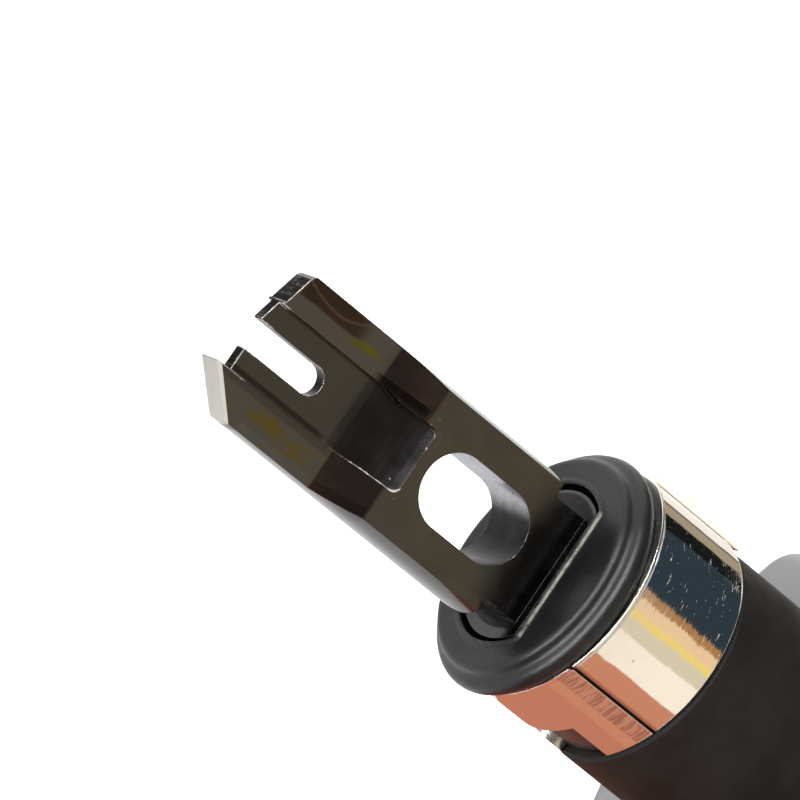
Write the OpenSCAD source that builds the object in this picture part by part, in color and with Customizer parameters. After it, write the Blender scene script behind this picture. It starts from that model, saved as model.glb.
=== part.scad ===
// Impact punch down tool with an interchangeable 110-type blade.
// The tool lies along X with the blade tip towards +X. Z is up and Y is the width.
// The origin is half way along the overall length, on the centre plane of the width,
// on the surface the tool rests on. Stations along X in the modules are counted from
// the rear face of the force dial; set_out() moves each piece to the origin.
// Millimetres, real size.

/* [Blade] */
// Diameter of the round bar the blade is ground from
bar_d = 9.74; // [9.5:0.02:9.9]
// Thickness of the blade between its two flats
blade_t = 4.22; // [4:0.02:4.4]
// Width of the slot that passes the terminal clip
slot_w = 1.83; // [1.6:0.05:2]
// Width of the window through the blade
window_w = 4.66; // [4.2:0.02:4.8]
// Length of the window through the blade
window_l = 8.1; // [7.5:0.1:8.4]
// Sideways play of the blade and the nose collar in the tool
nose_play = 0.25; // [0:0.05:0.25]

/* [Nose] */
// Largest diameter of the nose collar
collar_d = 16; // [15.8:0.1:16.4]
// Outside diameter of the lock ring
ring_d = 15.2; // [15.1:0.05:15.3]
// Outside diameter of the neck at the lock ring
neck_d = 15.24; // [15.2:0.02:15.4]
// Travel of the plunger into the handle
travel = 10.5; // [8:0.5:10.5]

/* [Handle] */
// Height of the handle over its two flats
handle_h = 28.4; // [28.2:0.1:29.4]
// Width of the handle at its widest
handle_w = 25.8; // [25.6:0.1:26.6]
// Outside diameter of the force dial
dial_d = 26; // [24:0.5:26.4]

/* [Hidden] */

fn = 64;
zc = handle_h / 2;        // height of the tool's axis
x0 = 133;                 // plane between the nose collar and the lock ring
reach = 27.1;             // from that plane to the cutting edge
xf = 113.7;               // front face of the handle
xr = 8.6;                 // rear face of the handle
tube_ro = 9.6;
tube_ri = 8.75;
R = bar_d / 2;
T = blade_t / 2;
ring_r = ring_d / 2;
ring_ri = 7.06;
neck_r = neck_d / 2;
shank_r = 5.0;            // blade shank inside the nose
shank_t = 2.75;
chuck_r = 6.5;
chuck_bore = 5.4;
stem_r = 3.2;
screw_x = [27, 86];
screw_z = 11.65;

// ---- helpers -------------------------------------------------------------
// from stations counted along the tool to the origin at half its length
module set_out() translate([-(x0 + reach) / 2, 0, 0]) children();
// solid of revolution about the tool's axis from [x, r] points
module rev(p) translate([0, 0, zc]) rotate([0, 90, 0]) rotate_extrude($fn = fn) polygon([for (q = p) [q[1], q[0]]]);
// cylinder about the tool's axis from xa to xb
module rod(r, xa, xb) translate([xa, 0, zc]) rotate([0, 90, 0]) cylinder(r = r, h = xb - xa, $fn = fn);
module pipe(ro, ri, xa, xb) difference() { rod(ro, xa, xb); rod(ri, xa - 1, xb + 1); }
// box from the axis: x range, y range, z range about the axis
module slab(x, y, z) translate([x[0], y[0], zc + z[0]]) cube([x[1] - x[0], y[1] - y[0], z[1] - z[0]]);
// outline drawn in the X-Y plane, raised from za to zb about the axis
module plan(za, zb) translate([0, 0, zc + za]) linear_extrude(zb - za) children();
// outline drawn in the X-Z plane, spanning ya to yb
module side(ya, yb) translate([0, yb, zc]) rotate([90, 0, 0]) linear_extrude(yb - ya) children();
// outline drawn in the Y-Z plane, spanning xa to xb
module sect(xa, xb) translate([xa, 0, zc]) rotate([90, 0, 90]) linear_extrude(xb - xa) children();
module ybore(r, x, z, ya, yb) translate([x, yb, zc + z]) rotate([90, 0, 0]) cylinder(r = r, h = yb - ya, $fn = 32);
module rrect(w, h, r) union() {
  square([w, h - 2 * r], center = true);
  square([w - 2 * r, h], center = true);
  for (a = [-1, 1], b = [-1, 1]) translate([a * (w / 2 - r), b * (h / 2 - r)]) circle(r = r, $fn = 48);
}
// points of a quarter round: centre [x, r], radius q, from angle a to b (0 points outwards in r, 90 towards +X)
function arcp(cx, cr, q, a, b, n) = [for (i = [0:n]) let (t = a + (b - a) * i / n) [cx + q * sin(t), cr + q * cos(t)]];

// coil wound about the X direction, as a swept round wire with closed ends
function coil_x(t, n, xa, xb, w) = let (p = (xb - xa - 3 * w) / (n - 2))
  xa + w / 2 + (t < 1 ? w * t : t > n - 1 ? xb - xa - 2 * w + w * (t - n + 1) : w + p * (t - 1));
module coil(xa, xb, rm, w, n, step = 18, sides = 8) {
  k = n * step;
  pts = [for (i = [0:k]) let (t = i / step, a = 360 * t, c = coil_x(t, n, xa, xb, w))
    for (j = [0:sides - 1]) let (b = 360 * j / sides, r = rm + w / 2 * cos(b)) [c + w / 2 * sin(b), r * sin(a), r * cos(a)]];
  fcs = concat([[for (j = [0:sides - 1]) j]], [[for (j = [0:sides - 1]) k * sides + sides - 1 - j]],
    [for (i = [0:k - 1], j = [0:sides - 1]) let (a = i * sides + j, b = i * sides + (j + 1) % sides) [a, a + sides, b + sides, b]]);
  translate([0, 0, zc]) polyhedron(points = pts, faces = fcs, convexity = 12);
}

// ---- blade ---------------------------------------------------------------
xt = x0 + 25.9;           // ends of the two prongs of the thin plate
plate_t = 0.42;           // half thickness of the plate that carries the slot
rail_t = 0.87;            // half thickness of the ground side rails
run_x = x0 + 13.3;        // rear end of the central channel
run_f = x0 + 18.6;        // channel floor becomes flat here
run_q = (pow(run_f - run_x, 2) + pow(T - plate_t, 2)) / (2 * (T - plate_t));
function runout(n) = [for (i = [0:n]) let (a = asin((run_f - run_x) / run_q) * (1 - i / n))
  [run_f - run_q * sin(a), plate_t + run_q * (1 - cos(a))]];

module blade() color([0.16, 0.15, 0.13]) set_out() translate([0, nose_play, 0]) difference() {
  union() {
    intersection() {
      rod(R, x0 + 4.4, x0 + reach + 0.1);
      slab([x0 + 4, x0 + 28], [-6, 6], [-T, T]);
      // side profile: flats, ramps at the front, ground rails
      side(-6, 6) polygon([[x0 + 3, -T], [x0 + 14.3, -T], [x0 + 17.6, -rail_t], [x0 + 28, -rail_t],
        [x0 + 28, rail_t], [x0 + 17.6, rail_t], [x0 + 14.3, T], [x0 + 3, T]]);
      // plan outline: cutter rail at +Y, plain rail at -Y, plate between them
      plan(-T, T) polygon([[x0 + 3, -6], [x0 + 24.2, -6], [x0 + 24.3, -4.87], [x0 + 24.6, -4.83], [x0 + 24.85, -4.7],
        [x0 + 25.02, -4.48], [x0 + 25.54, -2.58], [xt - 0.25, -2.58], [xt - 0.25, -2.45], [xt + 0.1, -1.12], [xt + 0.02, -0.95],
        [xt - 0.07, -0.8], [xt - 0.07, 2.3], [x0 + reach - 0.1, 2.3], [x0 + reach - 0.02, 2.33], [x0 + reach, 2.42],
        [x0 + 24.55, 4.75], [x0 + 24.4, 4.85], [x0 + 24.2, 4.9], [x0 + 24.1, 6], [x0 + 3, 6]]);
    }
    // waist between the two side notches
    intersection() {
      rod(4.6, x0 + 1.5, x0 + 4.6);
      slab([x0 + 1.5, x0 + 4.6], [-3.55, 3.55], [-T, T]);
    }
    // round shank with two flats, held by the chuck
    intersection() {
      rod(shank_r, x0 - 11, x0 + 1.9);
      slab([x0 - 12, x0 + 2], [-6, 6], [-shank_t, shank_t]);
    }
  }
  // window with round ends
  plan(-3, 3) translate([x0 + 8.45, 0]) rrect(window_l, window_w, window_w / 2 - 0.01);
  // central channel on both faces, with its run-out
  for (m = [0, 1]) translate([0, 0, m * 2 * zc]) mirror([0, 0, m])
    intersection() {
      side(-2.4, 2.72) polygon(concat([for (q = runout(10)) [q[0], -q[1]]], [[x0 + 28, -plate_t], [x0 + 28, -4], [run_x - 0.01, -4]]));
      plan(-4, 0) difference() {
        polygon([[run_x - 1, -2.15], [x0 + 16, -2.15], [x0 + 18, -2.6], [x0 + 28, -2.6], [x0 + 28, 2.3], [x0 + 18, 2.3],
          [x0 + 16, 2.15], [run_x - 1, 2.15]]);
        for (s = [-1, 1]) translate([run_x, s * 2.15]) difference() {
          square([1.1, 1.1], center = true);
          translate([0.55, -s * 0.55]) circle(r = 0.55, $fn = 32);
        }
      }
    }
  // clip slot, open at the tip
  plan(-3, 3) translate([x0 + 21.2, -0.1]) circle(r = slot_w / 2, $fn = 48);
  plan(-3, 3) translate([x0 + 21.2, -0.1 - slot_w / 2]) square([8, slot_w]);
  // bayonet groove across the rear of the shank
  pipe(6, 4.3, x0 - 8.2, x0 - 6.4);
}

// ---- nose ----------------------------------------------------------------
module nose_collar() color([0.2, 0.2, 0.2]) set_out() translate([0, nose_play, 0]) difference() {
  union() {
    // plate with an inner crest, a shallow cove and a rounded rim
    rev(concat([[x0, 0], [x0, 7.62]], arcp(x0 + 0.72, collar_d / 2 - 0.66, 0.66, -65, 50, 12),
      arcp(x0 + 1.68, 7.55, 0.3, -125, -175, 5), arcp(x0 + 1.62, 6.87, 0.38, 10, 90, 8), [[x0 + 2, 0]]));
    rod(6.22, x0 - 2.3, x0 + 0.5);
    // thin raised lip round the opening
    intersection() { rod(5.6, x0 + 1, x0 + 2.12); slab([x0 + 1, x0 + 2.12], [-6, 6], [-3.46, 3.46]); }
  }
  // double-D opening in the front plate, round bore behind it
  intersection() { rod(5.35, x0 - 1, x0 + 3); slab([x0 - 1, x0 + 3], [-6, 6], [-3.22, 3.22]); }
  rod(5.45, x0 - 3, x0 + 0.2);
}

module lock_ring() color([0.8, 0.79, 0.77]) set_out() difference() {
  union() {
    // rolled strip, a little off centre, with a turned-out front lip
    translate([0, -0.14, 0]) rev(concat([[x0 - 7.52, 0]], arcp(x0 - 7.34, ring_r + 0.12 - 0.18, 0.18, -90, 0, 4),
      [[x0 - 0.5, ring_r + 0.12], [x0 - 0.33, ring_r + 0.2], [x0 - 0.22, ring_r + 0.34], [x0 - 0.05, ring_r + 0.34], [x0 - 0.05, 0]]));
    // thumb ridge along the ring, with a raised bump near the front
    rotate_ear() side(-1.3, 1.3) polygon([[x0 - 0.9, 7.3], [x0 - 1.2, 7.95], [x0 - 1.55, 8.2], [x0 - 2.25, 8.46], [x0 - 2.95, 8.62],
      [x0 - 3.5, 8.56], [x0 - 4.05, 8.44], [x0 - 4.65, 8.33], [x0 - 5.8, 8.25], [x0 - 7.5, 8.19], [x0 - 8.3, 8.08], [x0 - 8.7, 7.9],
      [x0 - 8.7, 7.72], [x0 - 7.5, 7.72], [x0 - 7.3, 7.3]]);
  }
  rod(ring_ri, x0 - 7.6, x0 + 1);
  rod(7.68, x0 - 12, x0 - 7.521);
  // rolled seam
  about(125) slab([x0 - 9, x0 + 1], [-0.11, 0.11], [6, 9]);
  // stop window in the rear edge: 152 to 207 degrees
  window_cut();
}
// turn a shape drawn on top of the axis (+Z) to the angle f, counted from -Y towards +Z
module about(f) translate([0, 0, zc]) rotate([90 - f, 0, 0]) translate([0, 0, -zc]) children();
module rotate_ear() about(-1) children();
module window_cut() intersection() {
  difference() {
    union() {
      rod(9, x0 - 9, x0 - 5.1);
      difference() { rod(9, x0 - 5.2, x0 - 4.4); }
    }
  }
  translate([0, 0, zc]) rotate([0, 0, 0]) translate([x0 - 9, 0, 0]) rotate([90, 0, 90]) linear_extrude(9)
    polygon([[0, 0], for (f = [152:5:207]) [-14 * cos(f), 14 * sin(f)]]);
}

module lock_sleeve() color([0.13, 0.12, 0.12]) set_out() difference() {
  rod(6.99, x0 - 7.5, x0 - 0.06);
  rod(6.52, x0 - 8, x0 + 1);
  pin_hole(1.28);
}
module pin_hole(r) about(195) translate([x0 - 7.0, 0, zc + 5]) cylinder(r = r, h = 4, $fn = 32);
module stop_pin() color([0.9, 0.88, 0.8]) set_out() about(195) translate([x0 - 7.0, 0, zc + 5.75]) cylinder(r = 1.24, h = 1.72, $fn = 32);

module blade_chuck() color([0.6, 0.6, 0.62]) set_out() difference() {
  union() {
    rod(chuck_r, 97, x0 - 2.5);
    rev([[96.6, 0], [96.6, 8.35], [96.9, 8.65], [98.9, 8.65], [98.9, 0]]);
  }
  translate([0, nose_play, 0]) rod(chuck_bore, x0 - 11.3, x0);
  rod(stem_r + 0.02, 96, 102);
  rod(2, 101.9, x0 - 11);
  pin_hole(1.28);
}

module blade_leaf_spring() color([0.72, 0.72, 0.74]) set_out() translate([0, nose_play, 0]) side(-1.4, 1.4)
  polygon(concat([for (i = [0:12]) let (u = i / 12) [x0 - 3.2 - 7.4 * u, 5.0 - 2.12 * sin(180 * u)]],
    [for (i = [12:-1:0]) let (u = i / 12) [x0 - 3.2 - 7.4 * u, 4.68 - 1.82 * sin(180 * u)]]));

module neck_barrel() color([0.17, 0.17, 0.17]) set_out() difference() {
  rev(concat([[99, 0], [99, 8.45], [99.2, 8.65], [101.8, 8.65], [102.2, 8.3], [102.2, 7.85], [106.2, 7.85], [106.2, 8.3], [106.6, 8.65],
    [109.4, 8.65], [109.8, 8.3], [109.8, neck_r]],
    [[x0 - 7.9, neck_r], [x0 - 7.62, neck_r - 0.2], [x0 - 7.6, 0]]));
  rod(chuck_r + 0.03, 98, x0);
  pin_hole(1.28);
}

// ---- impact mechanism ----------------------------------------------------
module anvil_stem() color([0.55, 0.55, 0.57]) set_out() rev([[64.05, 0], [64.05, 2.7], [64.6, stem_r], [74.8, stem_r], [74.8, 2.6], [75.95, 2.6],
  [75.95, stem_r], [101.5, stem_r], [101.9, 2.8], [101.9, 0]]);

module stem_circlip() color([0.35, 0.35, 0.37]) set_out() difference() {
  pipe(4.7, 2.65, 74.9, 75.85);
  slab([74, 77], [-1.6, 1.6], [-6, 0]);
}

module return_spring() color([0.75, 0.75, 0.77]) set_out() coil(80.2, 96.5, 5.6, 1.1, 6);

module hammer() color([0.4, 0.4, 0.42]) set_out() difference() {
  union() {
    rev([[50, 0], [50, 7.9], [50.5, 8.4], [65.5, 8.4], [66, 7.9], [66, 0]]);
    rev([[46.8, 0], [46.8, 4.2], [47.2, 4.6], [51, 4.6], [51, 0]]);
  }
  rod(3.6, 52.5, 67);
  slab([60.95, 64.02], [-9, 9], [-5, 5]);
  slab([46, 67], [-9, -6.95], [-1.35, 1.35]);
}

trip_off = 1.1;           // sideways offset of the trip plate at rest
module trip_plate() color([0.5, 0.47, 0.4]) set_out() translate([0, -trip_off, 0]) difference() {
  intersection() {
    rod(7.3, 61.05, 63.92);
    slab([60, 65], [-7.28, 8], [-4.85, 4.85]);
  }
  rod(3.5, 60, 65);
}

// fixed ramp that pushes the trip plate sideways as the hammer moves back
module cam_rail() color([0.55, 0.55, 0.57]) set_out() plan(-1.05, 1.05)
  polygon([[61.2, -8.6], [61.2, -8.5], [61.05 - travel, -8.5 + trip_off], [47.5, -8.5 + trip_off], [46.9, -8.1], [46.9, -8.6]]);

module main_spring() color([0.6, 0.6, 0.63]) set_out() coil(24.1, 49.9, 6.5, 1.7, 7.5);

module spring_seat() color([0.72, 0.6, 0.32]) set_out() difference() {
  union() {
    rev([[20, 0], [20, 8.0], [20.4, 8.4], [23.6, 8.4], [24, 8.0], [24, 0]]);
    rev([[23.5, 0], [23.5, 4.6], [26.6, 4.6], [27, 4.2], [27, 0]]);
    slab([20.2, 23.8], [7.5, 9.3], [-1.35, 1.35]);
  }
  rod(3.16, 19, 28);
}

module adjuster_screw() color([0.62, 0.62, 0.64]) set_out() difference() {
  rev([[3.15, 0], [3.15, 2.8], [3.45, 3.1], [33.5, 3.1], [34, 2.6], [34, 0]]);
  rod(1.27, 3, 10);
}

module thrust_washer() color([0.75, 0.74, 0.7]) set_out() pipe(5.6, 3.3, 8.25, 8.88);

module force_dial() color([0.16, 0.16, 0.17]) set_out() difference() {
  union() {
    rev(concat([[0, 0]], arcp(1.3, dial_d / 2 - 1.3, 1.3, -90, 0, 6), [[6.6, dial_d / 2]],
      arcp(7.2, dial_d / 2 - 0.6, 0.6, 0, 90, 4), [[7.8, 12], [8.2, 11.6], [8.2, 0]]));
    // pointer rib on the rim
    slab([1.6, 7.0], [-0.6, 0.6], [dial_d / 2 - 1, dial_d / 2 + 0.45]);
  }
  rod(3.12, 2.9, 9);
  rod(5, -1, 3.0);
  // detent track and finger flutes
  difference() { rod(8.1, 7.55, 9); rod(5.9, 7.5, 9.1); }
  for (i = [0:15]) if (i != 4) translate([0, 0, zc]) rotate([22.5 * i, 0, 0]) translate([-1, dial_d / 2 + 0.9, 0]) rotate([0, 90, 0])
    cylinder(r = 1.7, h = 7.4, $fn = 32);
}

module dial_screw() color([0.7, 0.7, 0.72]) set_out() difference() {
  union() {
    rev([[1.0, 0], [1.0, 2.6], [1.7, 3.6], [2.9, 3.6], [2.9, 0]]);
    rod(1.24, 2.8, 9);
  }
  slab([0, 1.8], [-0.45, 0.45], [-4, 4]);
  slab([0, 1.8], [-4, 4], [-0.45, 0.45]);
}

module detent_ball() color([0.85, 0.85, 0.87]) set_out() translate([9.15, 0, zc + 7]) sphere(r = 1.2, $fn = 32);
module detent_spring() color([0.75, 0.75, 0.77]) set_out() translate([0, 0, 7]) coil(10.4, 13.4, 0.8, 0.38, 4.5, 12, 6);

module rear_bushing() color([0.22, 0.22, 0.23]) set_out() difference() {
  rod(tube_ro, 9.0, 16.95);
  rod(3.16, 8, 18);
  translate([8, 0, zc + 7]) rotate([0, 90, 0]) cylinder(r = 1.27, h = 5.5, $fn = 32);
}

module guide_tube() color([0.6, 0.6, 0.62]) set_out() difference() {
  rod(tube_ro, 17, xf - 1.25);
  rod(tube_ri, 16, xf);
  // key slot for the spring seat
  slab([16, 30], [8, 10], [-1.6, 1.6]);
  // slot that holds the release ramp
  slab([46.8, 61.3], [-10, -8], [-1.1, 1.1]);
}

module guide_washer() color([0.45, 0.45, 0.47]) set_out() pipe(tube_ri - 0.03, stem_r + 0.1, 76.05, 79);
module tube_snap_ring() color([0.35, 0.35, 0.37]) set_out() difference() {
  pipe(tube_ri - 0.03, 7.5, 79.05, 80.05);
  slab([78, 81], [-2, 2], [-10, 0]);
}

// ---- handle --------------------------------------------------------------
// half width of the handle along its length, as a smooth curve through a few stations
stations = [[-10, 11.4], [8, handle_w / 2 - 0.55], [24, handle_w / 2 - 0.05], [44, handle_w / 2 - 0.25], [62, handle_w / 2 - 0.5],
  [80, handle_w / 2 - 0.35], [94, handle_w / 2], [104, handle_w / 2 - 0.1], [112, handle_w / 2 - 0.6], [130, 11]];
function cr(p, u) = 0.5 * (2 * p[1] + (p[2] - p[0]) * u + (2 * p[0] - 5 * p[1] + 4 * p[2] - p[3]) * u * u
  + (3 * p[1] - p[0] - 3 * p[2] + p[3]) * u * u * u);
function hw(x) = let (k = [for (i = [1:len(stations) - 3]) if (x >= stations[i][0] && x <= stations[i + 1][0]) i][0],
  u = (x - stations[k][0]) / (stations[k + 1][0] - stations[k][0])) cr([for (j = [-1:2]) stations[k + j][1]], u);
fil = 1.7;                // rounding of the handle's two ends
xb = 109.6;               // front end of the main grip, behind the front flange
// half outline in plan, from the rear face to the front end of the main grip
function outer(d, n = 34) = concat([[xr, 0]], arcp(xr + fil, hw(xr + fil) - fil + d, fil, -90, 0, 6),
  [for (i = [1:n - 1]) let (x = xr + fil + (xb - xr - 2 * fil) * i / n) [x, hw(x) + d]],
  arcp(xb - fil, hw(xb - fil) - fil + d, fil, 0, 90, 6), [[xb, 0]]);
module planform(d = 0) plan(-30, 30) union() { polygon(outer(d)); mirror([0, 1]) polygon(outer(d)); }
// front flange: crowned top and bottom, flat sides, rounded corners, rounded front edge
ff = 0.9;
crown_r = 23.3;
crown_z = 9.2;
fl_w = 12.2;
fl_r = 2.6;
fl_y = fl_w - fl_r;
fl_z = sqrt(pow(crown_r - fl_r, 2) - fl_y * fl_y) - crown_z;
function stub(r) = concat([[100, 0], [100, r]], arcp(xf - ff, r - ff, ff, 0, 90, 8), [[xf, 0]]);
module flange() union() {
  intersection() {
    translate([0, 0, crown_z]) rev(stub(crown_r));
    translate([0, 0, -crown_z]) rev(stub(crown_r));
    slab([100, 120], [-fl_y * crown_r / (crown_r - fl_r), fl_y * crown_r / (crown_r - fl_r)], [-20, 20]);
  }
  plan(-fl_z, fl_z) union() { polygon(stub(fl_w)); mirror([0, 1]) polygon(stub(fl_w)); }
  for (a = [-1, 1], b = [-1, 1]) translate([0, a * fl_y, b * fl_z]) rev(stub(fl_r));
}
module body() union() {
  intersection() {
    planform();
    side(-30, 30) polygon(concat([[xr, -40]], arcp(xr + fil, handle_h / 2 - fil, fil, -90, 0, 6),
      arcp(xb - fil, handle_h / 2 - fil, fil, 0, 90, 6), [[xb, -40]]));
    side(-30, 30) mirror([0, 1]) polygon(concat([[xr, -40]], arcp(xr + fil, handle_h / 2 - fil, fil, -90, 0, 6),
      arcp(xb - fil, handle_h / 2 - fil, fil, 0, 90, 6), [[xb, -40]]));
    sect(0, 130) rrect(handle_w, handle_h, 4);
  }
  flange();
}
grip_x = [25, 88];
grip_h = 16.4;
module grip_window(g) plan_y() translate([(grip_x[0] + grip_x[1]) / 2, 0]) rrect(grip_x[1] - grip_x[0] + 2 * g, grip_h + 2 * g, 5 + g);
module plan_y() translate([0, 30, zc]) rotate([90, 0, 0]) linear_extrude(60) children();

module shell(s) difference() {
  intersection() {
    body();
    if (s > 0) slab([0, 130], [0.03, 30], [-30, 30]); else slab([0, 130], [-30, -0.03], [-30, 30]);
  }
  // bore for the guide tube, and the mouth for the plunger
  rod(tube_ro + 0.03, xr - 1, xf - 1.2);
  rod(tube_ri + 0.02, 100, xf + 1);
  rev([[xf - 0.5, 0], [xf - 0.5, tube_ri + 0.02], [xf + 0.1, tube_ri + 0.62], [xf + 0.1, 0]]);
  // seat for the grip
  difference() {
    intersection() { grip_window(0.03); slab([0, 130], s > 0 ? [9, 30] : [-30, -9], [-12, 12]); }
    planform(-1.5);
  }
  // case screws go in from the -Y side
  for (x = screw_x, z = [-screw_z, screw_z]) {
    ybore(s > 0 ? 1.03 : 1.2, x, z, -20, s > 0 ? 8.2 : 1);
    if (s < 0) ybore(1.8, x, z, -20, -8.6);
  }
  // witness marks for the dial, along the rear edge of the top
  for (y = [3, 6]) translate([xr + 2.9, s * y, zc + handle_h / 2 + 0.15]) rotate([0, 90, 0]) cylinder(r = 0.5, h = 3, center = true, $fn = 24);
}
module handle_left() color([0.62, 0.63, 0.62]) set_out() shell(1);
module handle_right() color([0.62, 0.63, 0.62]) set_out() shell(-1);

module grip(s) difference() {
  intersection() {
    difference() { planform(0.35); planform(-1.45); }
    grip_window(0);
    slab([0, 130], s > 0 ? [9, 30] : [-30, -9], [-12, 12]);
  }
  // finger grooves
  for (x = [33:6:81]) translate([x, s * (hw(x) + 0.75), zc]) cylinder(r = 1.1, h = 30, center = true, $fn = 32);
}
module grip_left() color([0.15, 0.15, 0.15]) set_out() grip(1);
module grip_right() color([0.15, 0.15, 0.15]) set_out() grip(-1);

module case_screws() color([0.3, 0.3, 0.31]) set_out() for (x = screw_x, z = [-screw_z, screw_z]) difference() {
  union() {
    ybore(1.0, x, z, -9, 8);
    ybore(1.7, x, z, -10.2, -8.65);
  }
  translate([x, -9.6, zc + z]) cube([2.2, 1.3, 0.5], center = true);
  translate([x, -9.6, zc + z]) cube([0.5, 1.3, 2.2], center = true);
}

blade();
nose_collar();
lock_ring();
lock_sleeve();
stop_pin();
blade_chuck();
blade_leaf_spring();
neck_barrel();
anvil_stem();
stem_circlip();
return_spring();
hammer();
trip_plate();
cam_rail();
main_spring();
spring_seat();
adjuster_screw();
thrust_washer();
force_dial();
dial_screw();
detent_ball();
detent_spring();
rear_bushing();
guide_tube();
guide_washer();
tube_snap_ring();
handle_left();
handle_right();
grip_left();
grip_right();
case_screws();
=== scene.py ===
"""Punch down tool: looks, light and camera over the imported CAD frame. Metres, row frame."""
import math

import bpy
from mathutils import Matrix, Vector

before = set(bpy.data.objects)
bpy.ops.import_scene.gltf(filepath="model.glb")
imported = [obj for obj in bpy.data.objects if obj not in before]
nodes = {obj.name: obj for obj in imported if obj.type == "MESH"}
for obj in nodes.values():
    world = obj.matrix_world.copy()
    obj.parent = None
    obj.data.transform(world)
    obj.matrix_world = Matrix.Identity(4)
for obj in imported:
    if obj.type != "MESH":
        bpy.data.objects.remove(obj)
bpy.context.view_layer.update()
MM = 0.001
OX = 80.05  # the frame's origin, counted along the tool from the rear face of the dial
X0 = 133.0  # plane between the nose collar and the lock ring, counted the same way
ZC = 14.2   # height of the tool's axis

# ----------------------------------------------------------------- node helpers


class Mat:
    """A small builder for one procedural material."""

    def __init__(self, name):
        self.m = bpy.data.materials.new(name)
        self.m.use_nodes = True
        self.t = self.m.node_tree
        self.t.nodes.clear()
        self.out = self.t.nodes.new("ShaderNodeOutputMaterial")
        self.p = self.t.nodes.new("ShaderNodeBsdfPrincipled")
        self.link(self.p.outputs[0], self.out.inputs[0])
        # object coordinates, with X counted from the rear face of the dial
        self.co = None
        self.co = self.vmath("ADD", self.t.nodes.new("ShaderNodeTexCoord").outputs["Object"], (OX * MM, 0.0, 0.0))

    def link(self, a, b):
        self.t.links.new(a, b)

    def put(self, sock, v):
        if isinstance(v, bpy.types.NodeSocket):
            self.link(v, sock)
        elif isinstance(v, (tuple, list)) and len(v) == 3 and sock.type == "RGBA":
            sock.default_value = (*v, 1)
        else:
            sock.default_value = v

    def set(self, **kw):
        for k, v in kw.items():
            self.put(self.p.inputs[k.replace("_", " ")], v)

    def math(self, op, a, b=0.0, c=0.0, clamp=False):
        n = self.t.nodes.new("ShaderNodeMath")
        n.operation = op
        n.use_clamp = clamp
        for s, v in zip(n.inputs, (a, b, c)):
            self.put(s, v)
        return n.outputs[0]

    def vmath(self, op, a, b=(0, 0, 0), out=0):
        n = self.t.nodes.new("ShaderNodeVectorMath")
        n.operation = op
        for s, v in zip(n.inputs, (a, b)):
            self.put(s, v)
        return n.outputs[out]

    def map(self, scale=(1, 1, 1), loc=(0, 0, 0), rot=(0, 0, 0), vec=None):
        n = self.t.nodes.new("ShaderNodeMapping")
        self.link(vec or self.co, n.inputs["Vector"])
        n.inputs["Scale"].default_value = scale
        n.inputs["Location"].default_value = loc
        n.inputs["Rotation"].default_value = rot
        return n.outputs[0]

    def noise(self, scale, detail=3.0, rough=0.5, vec=None, dist=0.0):
        n = self.t.nodes.new("ShaderNodeTexNoise")
        self.link(vec or self.co, n.inputs["Vector"])
        n.inputs["Scale"].default_value = scale
        n.inputs["Detail"].default_value = detail
        n.inputs["Roughness"].default_value = rough
        n.inputs["Distortion"].default_value = dist
        return n.outputs["Fac"]

    def voronoi(self, scale, vec=None, feature="F1", rand=1.0):
        n = self.t.nodes.new("ShaderNodeTexVoronoi")
        n.feature = feature
        self.link(vec or self.co, n.inputs["Vector"])
        n.inputs["Scale"].default_value = scale
        n.inputs["Randomness"].default_value = rand
        return n.outputs["Distance"]

    def ramp(self, fac, stops, interp="LINEAR"):
        n = self.t.nodes.new("ShaderNodeValToRGB")
        self.link(fac, n.inputs[0])
        e = n.color_ramp.elements
        n.color_ramp.interpolation = interp
        while len(e) < len(stops):
            e.new(0.5)
        for el, (p, c) in zip(e, stops):
            el.position = p
            el.color = (*c, 1) if isinstance(c, (tuple, list)) else (c, c, c, 1)
        return n.outputs[0]

    def mix(self, fac, a, b, blend="MIX"):
        n = self.t.nodes.new("ShaderNodeMix")
        n.data_type = "RGBA"
        n.blend_type = blend
        self.put(n.inputs[0], fac)
        self.put(n.inputs[6], a)
        self.put(n.inputs[7], b)
        return n.outputs[2]

    def step(self, v, lo, hi):
        """0 below lo, 1 above hi, smooth between."""
        n = self.t.nodes.new("ShaderNodeMapRange")
        n.interpolation_type = "SMOOTHSTEP"
        self.put(n.inputs["Value"], v)
        n.inputs["From Min"].default_value = lo
        n.inputs["From Max"].default_value = hi
        return n.outputs[0]

    def xyz(self, vec=None):
        n = self.t.nodes.new("ShaderNodeSeparateXYZ")
        self.link(vec or self.co, n.inputs[0])
        return n.outputs[0], n.outputs[1], n.outputs[2]

    def polar(self, cy=0.0, cz=ZC * MM):
        """(angle in radians from -Y towards +Z, radius) about the tool's axis."""
        x, y, z = self.xyz()
        yy = self.math("MULTIPLY", self.math("SUBTRACT", y, cy), -1.0)
        zz = self.math("SUBTRACT", z, cz)
        ang = self.math("ARCTAN2", zz, yy)
        rad = self.math("SQRT", self.math("ADD", self.math("MULTIPLY", yy, yy), self.math("MULTIPLY", zz, zz)))
        return ang, rad

    def combine(self, x, y, z):
        n = self.t.nodes.new("ShaderNodeCombineXYZ")
        for s, v in zip(n.inputs, (x, y, z)):
            self.put(s, v)
        return n.outputs[0]

    def bevel(self, radius, samples=6):
        n = self.t.nodes.new("ShaderNodeBevel")
        n.samples = samples
        n.inputs["Radius"].default_value = radius
        return n.outputs[0]

    def edges(self, radius=0.0001, lo=0.02, hi=0.16, samples=6):
        """1 along edges within radius, 0 on smooth areas."""
        g = self.t.nodes.new("ShaderNodeNewGeometry").outputs["Normal"]
        d = self.vmath("DOT_PRODUCT", self.bevel(radius, samples), g, out=1)
        return self.step(self.math("SUBTRACT", 1.0, d), lo, hi)

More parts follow.
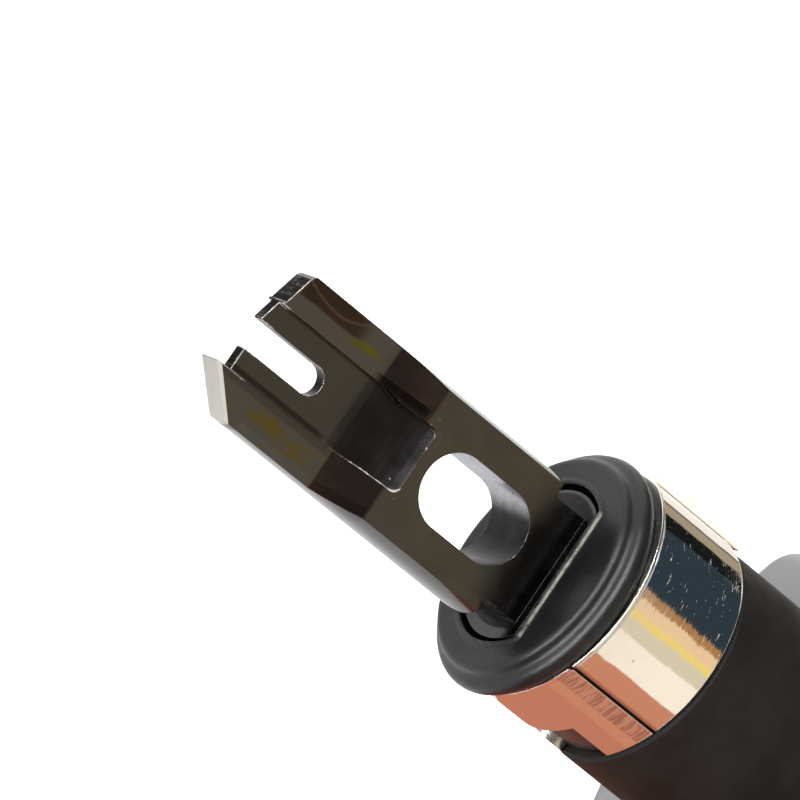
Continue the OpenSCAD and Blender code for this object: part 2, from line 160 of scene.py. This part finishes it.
    def bump(self, height, strength=0.3, dist=0.0001, normal=None):
        n = self.t.nodes.new("ShaderNodeBump")
        n.inputs["Strength"].default_value = strength
        n.inputs["Distance"].default_value = dist
        self.put(n.inputs["Height"], height)
        if normal is not None:
            self.link(normal, n.inputs["Normal"])
        self.link(n.outputs[0], self.p.inputs["Normal"])
        return n.outputs[0]


def box_mask(m, v, lo, hi, soft):
    """1 where lo < v < hi, with soft edges."""
    a = m.step(v, lo - soft, lo + soft)
    b = m.step(v, hi - soft, hi + soft)
    return m.math("MULTIPLY", a, m.math("SUBTRACT", 1.0, b))


# ----------------------------------------------------------------- materials


def near(m, p, r, soft):
    """1 inside a sphere of radius r (mm) about the row-frame point p (mm)."""
    d = m.vmath("LENGTH", m.vmath("SUBTRACT", m.co, tuple(c * MM for c in p)), out=1)
    return m.math("SUBTRACT", 1.0, m.step(d, (r - soft) * MM, (r + soft) * MM))


def blade_material():
    m = Mat("blade_black_oxide")
    x, y, z = m.xyz()
    mm = 1000.0
    X = m.math("SUBTRACT", m.math("MULTIPLY", x, mm), X0)   # mm ahead of the collar's rear plane
    Y = m.math("MULTIPLY", y, mm)
    zz = m.math("MULTIPLY", m.math("ABSOLUTE", m.math("SUBTRACT", z, ZC * MM)), mm)
    mott = m.noise(420, 5, 0.6)
    fine = m.noise(2600, 3, 0.6)
    cloud = m.noise(260, 4, 0.55)
    wig = m.math("SUBTRACT", cloud, 0.5)
    # oiled oxide: a dark metal whose tone drifts a little
    col = m.mix(m.step(mott, 0.35, 0.65), (0.076, 0.077, 0.077), (0.090, 0.090, 0.090))
    col = m.mix(m.math("MULTIPLY", m.step(cloud, 0.45, 0.7), 0.35), col, (0.112, 0.104, 0.092))
    # painted shade: a little darker towards the collar, where the blade runs into it
    collar_shade = m.math("SUBTRACT", 1.0, m.step(m.math("ADD", X, m.math("MULTIPLY", wig, 1.6)), 2.6, 6.6))
    col = m.mix(m.math("MULTIPLY", collar_shade, 0.5), col, (0.050, 0.047, 0.050))
    # painted shade, near black: the window end of the flats, where the run-out starts, and the channel floor behind the
    # slot
    chan = m.math("MULTIPLY", box_mask(m, Y, -2.62, 2.34, 0.02), m.math("SUBTRACT", 1.0, m.step(zz, 2.02, 2.08)))
    back_of_slot = m.math("SUBTRACT", 1.0, m.step(m.math("ADD", X, m.math("MULTIPLY", wig, 0.9)), 17.2, 18.9))
    chan_shade = m.math("MULTIPLY", m.math("MULTIPLY", chan, back_of_slot), m.step(X, 13.0, 13.2))
    col = m.mix(chan_shade, col, m.mix(mott, (0.034, 0.034, 0.038), (0.056, 0.056, 0.062)))
    # plate left of the slot is a touch greener; a painted shade line darkens the plate by the right wall
    plate = m.math("MULTIPLY", m.math("SUBTRACT", 1.0, m.step(zz, 0.44, 0.50)), m.step(X, 18.0, 19.0))
    col = m.mix(m.math("MULTIPLY", plate, 0.7), col, m.mix(m.step(mott, 0.3, 0.7), (0.060, 0.062, 0.063), (0.072, 0.074, 0.074)))
    right_wall_shade = m.math("MULTIPLY", box_mask(m, Y, -2.7, -2.1, 0.12), m.step(X, 14.0, 15.0))
    col = m.mix(m.math("MULTIPLY", m.math("MULTIPLY", right_wall_shade, chan), 0.8), col, (0.017, 0.014, 0.012))
    # painted shade line on the plate by the left wall
    left_wall_shade = m.math("MULTIPLY", box_mask(m, Y, 2.08, 2.4, 0.06), m.math("MULTIPLY", m.step(X, 18.0, 19.0), m.math("SUBTRACT", 1.0, m.step(zz, 0.44, 0.50))))
    col = m.mix(m.math("MULTIPLY", left_wall_shade, 0.7), col, (0.014, 0.012, 0.010))
    # painted shade on the sloping ramps, dark and a little brown
    ramp = m.math("MULTIPLY", box_mask(m, X, 14.15, 17.7, 0.12), m.math("SUBTRACT", 1.0, chan))
    col = m.mix(ramp, col, m.mix(m.step(cloud, 0.4, 0.7), (0.055, 0.050, 0.055), (0.105, 0.080, 0.074)))
    # heat tint on the ground rails
    rail = m.math("MULTIPLY", m.step(m.math("ADD", X, m.math("MULTIPLY", wig, 0.9)), 17.5, 18.3), box_mask(m, zz, 0.80, 0.92, 0.03))
    grey = m.mix(m.step(mott, 0.3, 0.7), (0.092, 0.094, 0.100), (0.106, 0.106, 0.112))
    wv = m.math("MULTIPLY", wig, 0.5)
    xc = m.math("SUBTRACT", X, 22.6)
    # right rail: brown outside a thin golden arc, green-gold patch at its rear
    arc = m.math("ADD", m.math("ADD", Y, m.math("ADD", 3.66, wv)), m.math("MULTIPLY", m.math("MULTIPLY", xc, xc), 0.105))
    brown_y = m.math("SUBTRACT", 1.0, m.step(m.math("ADD", Y, m.math("MULTIPLY", wv, 0.6)), -3.34, -3.12))
    outer = m.math("MULTIPLY", brown_y, box_mask(m, X, 20.2, 25.4, 0.7))
    outer = m.math("MAXIMUM", outer, m.math("MULTIPLY", m.math("SUBTRACT", 1.0, m.step(arc, -0.9, -0.5)), 0.9))
    red = m.mix(m.step(mott, 0.3, 0.7), (0.036, 0.028, 0.022), (0.050, 0.036, 0.030))
    tr = m.mix(outer, grey, red)
    gold1 = m.math("MULTIPLY", box_mask(m, arc, -0.07, 0.07, 0.06), m.step(fine, 0.15, 0.4))
    tr = m.mix(m.math("MULTIPLY", gold1, 0.8), tr, (0.112, 0.088, 0.058))
    gx = m.math("DIVIDE", m.math("SUBTRACT", X, 19.6), 1.35)
    gy = m.math("DIVIDE", m.math("ADD", m.math("ADD", Y, 3.12), m.math("ADD", wv, m.math("MULTIPLY", m.math("SUBTRACT", X, 19.6), -0.12))), 0.30)
    gd = m.math("ADD", m.math("MULTIPLY", gx, gx), m.math("MULTIPLY", gy, gy))
    tr = m.mix(m.math("SUBTRACT", 1.0, m.step(gd, 0.2, 1.3)), tr, (0.122, 0.120, 0.030))
    # left rail: soft yellow patches along its middle
    band = box_mask(m, m.math("ADD", Y, m.math("MULTIPLY", wig, 2.4)), 3.45, 4.25, 0.22)
    patch = m.step(m.noise(1.0, 3, 0.6, vec=m.map((420, 900, 900), loc=(0.21, 0.4, 0))), 0.40, 0.55)
    ln = m.math("MULTIPLY", m.math("MULTIPLY", band, patch), box_mask(m, X, 18.6, 25.2, 0.5))
    tl = m.mix(m.math("MULTIPLY", ln, 0.95), grey, (0.118, 0.100, 0.030))
    # painted shade along the left rail's inner edge
    rail_inner_shade = box_mask(m, Y, 2.2, 3.0, 0.12)
    tl = m.mix(m.math("MULTIPLY", rail_inner_shade, 0.45), tl, (0.040, 0.034, 0.034))
    tint = m.mix(m.step(Y, -0.1, 0.1), tr, tl)
    col = m.mix(rail, col, tint)
    # painted shade: end faces, slot and window walls are near black wherever the surface stands steep
    nx = m.t.nodes.new("ShaderNodeNewGeometry").outputs["Normal"]
    sx, sy, sz = m.xyz(nx)
    up = m.math("ABSOLUTE", sz)
    wall = m.math("SUBTRACT", 1.0, m.step(up, 0.15, 0.5))
    side_r = m.math("SQRT", m.math("ADD", m.math("MULTIPLY", Y, Y), m.math("MULTIPLY", zz, zz)))
    barrel = m.math("MULTIPLY", m.step(side_r, 4.50, 4.60), m.step(m.math("SUBTRACT", 23.6, X), -0.2, 0.2))
    wall = m.math("MULTIPLY", wall, m.math("SUBTRACT", 1.0, barrel))
    col = m.mix(wall, col, m.mix(m.step(mott, 0.3, 0.7), (0.006, 0.005, 0.005), (0.020, 0.018, 0.017)))
    # painted reflection: the straight wall of the window is painted a light bluish grey where it catches the light
    wall_reflection = m.math("MULTIPLY", m.math("MULTIPLY", wall, box_mask(m, X, 4.0, 12.8, 0.2)), m.step(m.math("MULTIPLY", Y, -1.0), 1.1, 2.3))
    wall_reflection = m.math("MULTIPLY", wall_reflection, box_mask(m, Y, -2.5, 2.5, 0.05))
    col = m.mix(m.math("MULTIPLY", wall_reflection, m.math("ADD", 0.7, m.math("MULTIPLY", m.step(fine, 0.3, 0.6), 0.3))), col, (0.50, 0.51, 0.56))
    scratch = m.step(m.noise(1.0, 4, 0.75, vec=m.map((700, 1900, 420), rot=(0.5, 0.2, 0.4)), dist=0.6), 0.50, 0.64)
    col = m.mix(m.math("MULTIPLY", m.math("MULTIPLY", wall, scratch), m.step(X, 24.4, 25.0)), col, (0.17, 0.165, 0.155))
    # bare end face of the cutter rail
    n = Vector((2.45, 2.55, 0)).normalized()
    p = Vector((27.05, 2.40, 0))
    d = m.math("SUBTRACT", m.math("ADD", m.math("MULTIPLY", X, n.x), m.math("MULTIPLY", Y, n.y)), p.dot(n))
    bare = m.math("MULTIPLY", m.step(d, -0.10, -0.05), m.step(X, 23.8, 24.1))
    bare = m.math("MULTIPLY", bare, m.step(Y, 2.1, 2.2))
    grind = m.noise(1.0, 3, 0.7, vec=m.map((900, 900, 5000)))
    silver = m.mix(grind, (0.27, 0.255, 0.24), (0.36, 0.345, 0.325))
    silver = m.mix(m.math("MULTIPLY", m.step(fine, 0.62, 0.75), 0.35), silver, (0.12, 0.11, 0.105))
    # thin worn edges, plus painted highlights on the edges at the tip, along the channel's walls and at the slot's end
    e = m.edges(0.00007, 0.03, 0.2)
    worn = m.math("MULTIPLY", e, m.step(m.noise(700, 4, 0.6), 0.42, 0.60))
    tip = m.step(X, 24.6, 25.2)
    chan_edge = m.math("MULTIPLY", box_mask(m, X, 12.9, 18.4, 0.3), box_mask(m, Y, 1.9, 2.5, 0.06))
    slot_end = m.math("MULTIPLY", box_mask(m, X, 20.0, 21.4, 0.3), box_mask(m, Y, -1.2, 1.0, 0.1))
    rear = m.math("SUBTRACT", 1.0, m.step(X, 2.5, 4.5))
    amt = m.math("MAXIMUM", m.math("MAXIMUM", tip, chan_edge), slot_end)
    e2 = m.edges(0.00016, 0.02, 0.10)
    edge_highlight = m.math("MULTIPLY", m.math("MULTIPLY", m.math("MAXIMUM", e, m.math("MULTIPLY", e2, m.math("MAXIMUM", chan_edge, m.math("MULTIPLY", tip, 0.8)))), amt), m.math("ADD", 0.45, m.math("MULTIPLY", m.step(fine, 0.4, 0.6), 0.55)))
    wear_and_highlight = m.math("MAXIMUM", m.math("MULTIPLY", m.math("MULTIPLY", worn, 0.35), m.math("SUBTRACT", 1.0, rear)), edge_highlight)
    col = m.mix(wear_and_highlight, col, (0.62, 0.60, 0.56))
    # a few specks in the run-out and tool marks on the end faces
    speck = m.math("SUBTRACT", 1.0, m.step(m.voronoi(1500, feature="F1"), 0.10, 0.16))
    speck = m.math("MULTIPLY", speck, m.math("MAXIMUM", box_mask(m, X, 13.2, 14.6, 0.3), m.math("MULTIPLY", wall, tip)))
    speck = m.math("MULTIPLY", speck, m.step(m.noise(900, 2, 0.5), 0.50, 0.56))
    col = m.mix(speck, col, (0.45, 0.44, 0.42))
    col = m.mix(bare, col, silver)
    metal = m.math("SUBTRACT", 1.0, m.math("MAXIMUM", m.math("MULTIPLY", bare, 0.75), m.math("MULTIPLY", edge_highlight, 0.8)))
    rough = m.ramp(mott, [(0.3, 0.20), (0.7, 0.32)])
    rough = m.mix(barrel, rough, (0.11, 0.11, 0.11))
    rough = m.mix(wear_and_highlight, rough, (0.45, 0.45, 0.45))
    rough = m.mix(bare, rough, (0.45, 0.45, 0.45))
    m.set(Base_Color=col, Metallic=metal, Roughness=rough)
    h = m.math("ADD", m.math("MULTIPLY", mott, 0.6), m.math("MULTIPLY", fine, 0.4))
    h = m.math("ADD", h, m.math("MULTIPLY", m.math("MULTIPLY", wall, m.noise(1100, 4, 0.7)), 2.5))
    m.bump(h, 0.12, 0.00004, normal=m.bevel(0.00006))
    return m.m


def plastic(name, dark, light, rough=(0.4, 0.55), scale=900, bump=0.25, spec=0.5, edge=None, scuff=0.0, round_mm=0.10):
    """Moulded plastic: fine texture, slight mottling, faint scuffs and lighter edges."""
    m = Mat(name)
    a = m.noise(scale * 0.25, 4, 0.6)
    b = m.noise(scale * 3.2, 2, 0.5)
    grain = m.voronoi(scale * 2.2, feature="SMOOTH_F1")
    col = m.mix(m.step(a, 0.3, 0.7), dark, light)
    if scuff:
        s = m.noise(1.0, 4, 0.7, vec=m.map((60, 1500, 420), rot=(0.2, 0.1, 0.5)))
        sm = m.math("MULTIPLY", m.step(s, 0.66, 0.74), scuff)
        col = m.mix(sm, col, tuple(min(1, c * 2.4 + 0.01) for c in light))
    if edge:
        col = m.mix(m.math("MULTIPLY", m.edges(round_mm * 1.3 * MM, 0.03, 0.25), 0.5), col, edge)
    r = m.ramp(m.noise(scale * 0.6, 4, 0.6), [(0.3, rough[0]), (0.7, rough[1])])
    m.set(Base_Color=col, Roughness=r)
    m.p.inputs["Specular IOR Level"].default_value = spec
    h = m.math("ADD", m.math("MULTIPLY", b, 0.5), m.math("MULTIPLY", grain, 0.5))
    m.bump(h, bump, 0.00004, normal=m.bevel(round_mm * MM))
    return m


def chrome_material():
    m = Mat("lock_ring_chrome")
    ang, rad = m.polar()
    deg = m.math("MULTIPLY", ang, 180 / math.pi)
    x, y, z = m.xyz()
    # coordinates rolled out flat in millimetres: length along the ring, arc length round it
    v = m.combine(m.math("MULTIPLY", x, 1000), m.math("MULTIPLY", ang, 7.6), 0.0)
    scr = m.noise(1.0, 3, 0.6, vec=m.map((14, 0.9, 1), vec=v))
    fine = m.noise(1.0, 4, 0.7, vec=m.map((7, 1.1, 1), loc=(9, 2, 0), vec=v))
    wav = m.noise(1.0, 2, 0.5, vec=m.map((0.5, 0.35, 1), vec=v))
    # machined band beside the seam
    band = box_mask(m, deg, 126.2, 134.5, 0.6)
    chat = m.noise(1.0, 2, 0.6, vec=m.map((6.5, 0.5, 1), vec=v))
    # short bright scratches, mostly on the upper right
    cut = m.noise(1.0, 3, 0.75, vec=m.map((5.5, 0.85, 1), loc=(1.7, 4.1, 0), vec=v), dist=0.3)
    zone = box_mask(m, deg, 40, 84, 6)
    marks = m.math("MULTIPLY", m.step(cut, 0.63, 0.68), zone)
    pits = m.math("SUBTRACT", 1.0, m.step(m.voronoi(0.40, vec=m.map((1, 1, 1), loc=(0.55, 0.35, 0), vec=v)), 0.035, 0.06))
    col = m.mix(pits, (0.95, 0.925, 0.885), (0.05, 0.045, 0.04))
    col = m.mix(m.math("MULTIPLY", band, 0.8), col, m.mix(m.step(chat, 0.42, 0.58), (0.46, 0.36, 0.34), (0.86, 0.80, 0.78)))
    shade = m.math("MULTIPLY", box_mask(m, deg, 122.8, 125.6, 0.5), 0.55)
    col = m.mix(shade, col, (0.30, 0.17, 0.14))
    rough = m.mix(m.step(scr, 0.35, 0.7), (0.03, 0.03, 0.03), (0.10, 0.10, 0.10))
    rough = m.mix(band, rough, (0.30, 0.30, 0.30))
    rough = m.mix(marks, rough, (0.62, 0.62, 0.62))
    # thumb ridge: painted highlight, pale and less metallic
    ridge = m.math("MULTIPLY", m.step(rad, 7.86 * MM, 8.0 * MM), m.math("SUBTRACT", 1.0, m.step(x, (X0 - 0.95) * MM, (X0 - 0.7) * MM)))
    col = m.mix(ridge, col, m.mix(m.step(fine, 0.35, 0.7), (0.60, 0.585, 0.55), (0.76, 0.745, 0.71)))
    rough = m.mix(ridge, rough, (0.36, 0.36, 0.36))
    m.set(Base_Color=col, Metallic=m.math("SUBTRACT", 1.0, m.math("MULTIPLY", ridge, 0.7)), Roughness=rough)
    # the rolled surface is slightly uneven round the ring, more so where it was scraped
    side = m.combine(0.0, m.math("SINE", ang), m.math("COSINE", ang))
    amp = m.math("ADD", 0.012, m.math("MULTIPLY", box_mask(m, deg, 62, 98, 7), 0.16))
    tilt = m.math("MULTIPLY", m.math("SUBTRACT", m.math("ADD", m.math("MULTIPLY", scr, 0.5), m.math("MULTIPLY", fine, 0.5)), 0.5), amp)
    tilt = m.math("ADD", tilt, m.math("MULTIPLY", m.math("SUBTRACT", wav, 0.5), 0.05))
    s = m.t.nodes.new("ShaderNodeVectorMath")
    s.operation = "SCALE"
    m.link(side, s.inputs[0])
    m.link(tilt, s.inputs[3])
    nn = m.vmath("NORMALIZE", m.vmath("ADD", m.bevel(0.0001), s.outputs[0]))
    h = m.math("ADD", m.math("MULTIPLY", scr, 0.25), m.math("MULTIPLY", m.math("MULTIPLY", band, chat), 3.0))
    h = m.math("ADD", h, m.math("MULTIPLY", marks, 0.8))
    m.bump(h, 0.10, 0.00003, normal=nn)
    return m.m


def steel(name, tone=0.62, rough=(0.18, 0.34), warm=0.0, lines=(30, 1.0)):
    """Turned steel with fine circumferential lines."""
    m = Mat(name)
    ang, rad = m.polar()
    x, y, z = m.xyz()
    v = m.combine(m.math("MULTIPLY", x, 1000), m.math("MULTIPLY", ang, 6.0), m.math("MULTIPLY", rad, 1000))
    ln = m.noise(1.0, 4, 0.6, vec=m.map((lines[0], lines[1], lines[0]), vec=v))
    bl = m.noise(300, 4, 0.6)
    a = (tone * 0.82, tone * 0.82, tone * (0.83 - warm))
    b = (tone * 1.08, tone * 1.07, tone * (1.06 - warm))
    col = m.mix(m.step(ln, 0.3, 0.7), a, b)
    col = m.mix(m.math("MULTIPLY", m.step(bl, 0.55, 0.8), 0.3), col, (tone * 0.5, tone * 0.48, tone * 0.45))
    m.set(Base_Color=col, Metallic=1.0, Roughness=m.ramp(ln, [(0.25, rough[0]), (0.75, rough[1])]))
    m.bump(ln, 0.12, 0.00003)
    return m.m


def brass():
    m = Mat("seat_brass")
    ln = m.noise(1.0, 4, 0.6, vec=m.map((9000, 700, 700)))
    col = m.mix(m.step(ln, 0.3, 0.7), (0.62, 0.43, 0.17), (0.80, 0.60, 0.28))
    m.set(Base_Color=col, Metallic=1.0, Roughness=m.ramp(ln, [(0.3, 0.22), (0.7, 0.36)]))
    m.bump(ln, 0.1, 0.00003)
    return m.m


def give(names, mat):
    for n in names:
        o = nodes[n]
        o.data.materials.clear()
        o.data.materials.append(mat)


steel_bright = steel("bright_steel", 0.62)
steel_spring = steel("spring_wire", 0.55, (0.2, 0.32), lines=(3, 6))
steel_hard = steel("hardened_steel", 0.30, (0.24, 0.4), warm=0.04)
m_collar = plastic("collar_black", (0.0042, 0.0042, 0.0045), (0.0090, 0.0090, 0.0094), (0.24, 0.36), 800, 0.30, 0.28,
                   edge=(0.014, 0.014, 0.0145), scuff=0.30, round_mm=0.42)
cx, cy, cz = m_collar.xyz()
cz = m_collar.math("ABSOLUTE", m_collar.math("SUBTRACT", cz, ZC * MM))
# painted highlight: two thin light lines along the lip round the opening
lip_highlight = m_collar.math("MAXIMUM", box_mask(m_collar, cz, 3.18 * MM, 3.29 * MM, 0.02 * MM), box_mask(m_collar, cz, 3.38 * MM, 3.50 * MM, 0.02 * MM))
lip_highlight = m_collar.math("MULTIPLY", lip_highlight, box_mask(m_collar, cy, -4.05 * MM, 4.5 * MM, 0.1 * MM))
lip_highlight = m_collar.math("MULTIPLY", lip_highlight, m_collar.step(cx, (X0 + 1.80) * MM, (X0 + 1.95) * MM))
lip_highlight = m_collar.math("MULTIPLY", lip_highlight, m_collar.step(m_collar.noise(1300, 4, 0.7), 0.30, 0.55))
old_link = m_collar.p.inputs["Base Color"].links[0].from_socket
m_collar.put(m_collar.p.inputs["Base Color"], m_collar.mix(m_collar.math("MULTIPLY", lip_highlight, 0.9), old_link, (0.36, 0.35, 0.31)))
m_neck = plastic("neck_black", (0.0042, 0.0036, 0.0035), (0.0080, 0.0070, 0.0066), (0.44, 0.58), 900, 0.34, 0.13, scuff=0.8)
m_dial = plastic("dial_black", (0.018, 0.018, 0.019), (0.028, 0.028, 0.030), (0.40, 0.55), 700, 0.35, 0.5, edge=(0.06, 0.06, 0.062), round_mm=0.25)
m_grey = plastic("handle_grey", (0.270, 0.273, 0.278), (0.286, 0.289, 0.294), (0.42, 0.56), 700, 0.35, 0.45,
                 edge=(0.235, 0.245, 0.262), scuff=0.10, round_mm=0.25)
m_grip = plastic("grip_rubber", (0.018, 0.018, 0.019), (0.028, 0.028, 0.029), (0.62, 0.8), 1100, 0.5, 0.35, edge=(0.05, 0.05, 0.052), round_mm=0.3)
m_screw = plastic("screw_black", (0.03, 0.03, 0.032), (0.05, 0.05, 0.053), (0.3, 0.42), 1200, 0.2, 0.6, edge=(0.2, 0.2, 0.2), round_mm=0.1)
m_screw.p.inputs["Metallic"].default_value = 0.6
m_sleeve = plastic("sleeve_dark", (0.010, 0.008, 0.008), (0.020, 0.017, 0.016), (0.28, 0.4), 900, 0.2, 0.6)

give(["blade"], blade_material())
give(["nose_collar", "rear_bushing"], m_collar.m)
give(["lock_ring"], chrome_material())
give(["lock_sleeve"], m_sleeve.m)
give(["neck_barrel"], m_neck.m)
give(["force_dial"], m_dial.m)
give(["handle_left", "handle_right"], m_grey.m)
give(["grip_left", "grip_right"], m_grip.m)
give(["case_screws"], m_screw.m)
give(["stop_pin", "blade_chuck", "adjuster_screw", "thrust_washer", "dial_screw", "detent_ball", "guide_tube"], steel_bright)
give(["blade_leaf_spring", "return_spring", "main_spring", "detent_spring"], steel_spring)
give(["anvil_stem", "stem_circlip", "hammer", "trip_plate", "cam_rail", "guide_washer", "tube_snap_ring"], steel_hard)
give(["spring_seat"], brass())

# ----------------------------------------------------------------- stage


def emission(name, col, strength):
    mt = bpy.data.materials.new(name)
    mt.use_nodes = True
    t = mt.node_tree
    t.nodes.clear()
    o = t.nodes.new("ShaderNodeOutputMaterial")
    e = t.nodes.new("ShaderNodeEmission")
    e.inputs[0].default_value = (*col, 1)
    e.inputs[1].default_value = strength
    t.links.new(e.outputs[0], o.inputs[0])
    return mt


def reflector(name, verts, faces, col, strength):
    """A card seen only in reflections. Points in mm, X counted from the rear face of the dial."""
    me = bpy.data.meshes.new(name)
    me.from_pydata([((p[0] - OX) * MM, p[1] * MM, p[2] * MM) for p in verts], [], faces)
    o = bpy.data.objects.new(name, me)
    bpy.context.scene.collection.objects.link(o)
    me.materials.append(emission(name, col, strength))
    o.visible_camera = False
    o.visible_diffuse = False
    o.visible_shadow = False
    o.visible_transmission = False
    return o


def arc_card(name, psi0, psi1, col, strength=1.0, rho=300, xa=-420, xb=160, skew=0.0):
    """Part of a wide cylinder round the tool's axis, between two angles measured from +Y towards +Z.
    skew turns the angles slowly along X."""
    vs, fs = [], []
    nu, nv = 16, 12
    for i in range(nu + 1):
        for j in range(nv + 1):
            x = xa + (xb - xa) * j / nv
            a = math.radians(psi0 + (psi1 - psi0) * i / nu + skew * ((x + 420) / 580 - 0.6))
            vs.append((x, rho * math.cos(a), max(1.0, ZC + rho * math.sin(a))))
    for i in range(nu):
        for j in range(nv):
            k = i * (nv + 1) + j
            fs.append((k, k + nv + 1, k + nv + 2, k + 1))
    return reflector(name, vs, fs, col, strength)


floor_me = bpy.data.meshes.new("floor")
S = 6.0
floor_me.from_pydata([(-S, -S, 0), (S, -S, 0), (S, S, 0), (-S, S, 0)], [], [(0, 1, 2, 3)])
floor = bpy.data.objects.new("floor", floor_me)
bpy.context.scene.collection.objects.link(floor)
fm = bpy.data.materials.new("floor_white")
fm.use_nodes = True
ft = fm.node_tree
fp = ft.nodes["Principled BSDF"]
fp.inputs["Base Color"].default_value = (0.62, 0.62, 0.62, 1)
fp.inputs["Roughness"].default_value = 0.9
fp.inputs["Specular IOR Level"].default_value = 0.1
# a lit table: burnt out to white where it is looked at, gentler as a light on the tool
fe = ft.nodes.new("ShaderNodeEmission")
fe.inputs[0].default_value = (1, 1, 1, 1)
fe.inputs[1].default_value = 0.85
fa = ft.nodes.new("ShaderNodeAddShader")
fx = ft.nodes.new("ShaderNodeMixShader")
fl = ft.nodes.new("ShaderNodeLightPath")
ft.links.new(fp.outputs[0], fa.inputs[0])
ft.links.new(fe.outputs[0], fa.inputs[1])
ft.links.new(fl.outputs["Is Camera Ray"], fx.inputs[0])
ft.links.new(fp.outputs[0], fx.inputs[1])
ft.links.new(fa.outputs[0], fx.inputs[2])
ft.links.new(fx.outputs[0], ft.nodes["Material Output"].inputs[0])
floor_me.materials.append(fm)

world = bpy.data.worlds.new("studio")
bpy.context.scene.world = world
world.use_nodes = True
wb = world.node_tree.nodes["Background"]
wb.inputs[0].default_value = (0.95, 0.96, 1.0, 1)
wb.inputs[1].default_value = 0.30


def area(name, loc, target, size, power, col=(1, 1, 1), glossy=False):
    ld = bpy.data.lights.new(name, "AREA")
    ld.shape = "RECTANGLE"
    ld.size, ld.size_y = size
    ld.energy = power
    ld.color = col
    o = bpy.data.objects.new(name, ld)
    bpy.context.scene.collection.objects.link(o)
    o.location = (loc[0] - OX * MM, loc[1], loc[2])
    o.rotation_mode = "QUATERNION"
    o.rotation_quaternion = (Vector(target) - Vector(loc)).to_track_quat("-Z", "Y")
    o.visible_glossy = glossy
    o.visible_camera = False
    return o


tgt = (0.12, 0, 0.015)
area("key", (-0.05, -0.05, 0.75), tgt, (0.8, 0.8), 8.0, (1.0, 0.98, 0.95))
area("fill", (0.65, 0.35, 0.45), tgt, (0.9, 0.9), 7.0)
area("left", (0.15, 0.8, 0.35), tgt, (0.8, 0.6), 4.0)
area("right", (0.25, -0.75, 0.40), tgt, (0.8, 0.6), 9.0)

# reflector cards round the nose, by the angle about the axis
SK = 8.0
XS = -58.0  # the ring looks behind this, the blade in front of it
arc_card("card_copper", -4, 52, (0.60, 0.245, 0.145), skew=SK)
arc_card("card_cream", 52, 80, (0.98, 0.88, 0.74), 1.02, xb=XS, skew=SK)
arc_card("card_grey", 80, 94, (0.70, 0.62, 0.46), xb=XS, skew=SK)
arc_card("card_yellow", 94, 101, (0.90, 0.68, 0.20), xb=XS, skew=SK)
arc_card("card_peach", 101, 112, (0.86, 0.60, 0.36), xb=XS, skew=SK)
arc_card("card_brown", 112, 120, (0.40, 0.20, 0.07), xb=XS, skew=SK)
arc_card("card_navy", 120, 196, (0.028, 0.042, 0.056), skew=SK)
arc_card("card_dim", 196, 210, (0.022, 0.020, 0.014), skew=SK)
arc_card("card_blade_a", 52, 120, (0.66, 0.56, 0.44), xa=XS, xb=-34)
arc_card("card_blade_b", 52, 120, (0.80, 0.70, 0.54), xa=-34, xb=34)
arc_card("card_blade_c", 52, 120, (0.26, 0.20, 0.15), xa=34, xb=420)
# long curved lamp in front, for the crest of the collar and the bright edges
lamp = []
for ly, lz, lx in [(0.70, 0.06, 0.70), (0.55, 0.20, 0.78), (0.32, 0.36, 0.84), (0.05, 0.46, 0.86), (-0.25, 0.46, 0.83), (-0.50, 0.38, 0.77), (-0.68, 0.24, 0.68)]:
    for up in (-0.09, 0.11):
        q = Vector((lx, ly, lz + up)).normalized() * 300
        lamp.append((X0 + q.x, q.y, max(2.0, ZC + q.z)))
reflector("lamp_front", lamp, [(2 * i, 2 * i + 1, 2 * i + 3, 2 * i + 2) for i in range(6)], (1.0, 1.0, 0.97), 38.0)
Z1 = 0.4
reflector("floor_copper", [(-420, 7, Z1), (122.5, 7, Z1), (124, 40, Z1), (140, 310, Z1), (-420, 310, Z1)], [(0, 1, 2, 3, 4)], (0.55, 0.205, 0.125), 1.0)
reflector("floor_pale", [(60, -5, Z1), (60, -28, Z1), (128, -28, Z1), (128, -5, Z1)], [(0, 1, 2, 3)], (0.93, 0.89, 0.82), 1.0)
reflector("floor_brown", [(60, -28, Z1), (60, -31, Z1), (128, -31, Z1), (128, -28, Z1)], [(0, 1, 2, 3)], (0.12, 0.08, 0.05), 1.0)
reflector("floor_beige", [(60, -31, Z1), (60, -54, Z1), (128, -54, Z1), (128, -31, Z1)], [(0, 1, 2, 3)], (0.37, 0.31, 0.22), 1.0)
reflector("floor_dark", [(91, -54, Z1), (-75, -290, Z1), (140, -290, Z1), (128, -54, Z1)], [(0, 1, 2, 3)], (0.008, 0.010, 0.010), 1.0)
reflector("floor_tip", [(160, -14, Z1), (160, 14, Z1), (205, 16, Z1), (205, -16, Z1)], [(0, 1, 2, 3)], (0.34, 0.32, 0.31), 1.0)

# ----------------------------------------------------------------- camera
cam_data = bpy.data.cameras.new("camera")
cam = bpy.data.objects.new("camera", cam_data)
bpy.context.scene.collection.objects.link(cam)
cam_data.sensor_width = 36.0
cam_data.lens = 7584.379 * 36.0 / 800.0
right = Vector((-0.66231, -0.55593, 0.50228)).normalized()
back = Vector((0.51731, 0.14562, 0.84332)).normalized()
up = back.cross(right).normalized()
right = up.cross(back).normalized()
rot = Matrix((right, up, back)).transposed().to_4x4()
cam.matrix_world = Matrix.Translation(Vector((369.006 - OX, 59.843, 373.967)) * MM) @ rot
cam_data.clip_start, cam_data.clip_end = 0.01, 50.0
bpy.context.scene.camera = cam
bpy.context.scene.view_settings.view_transform = "Standard"
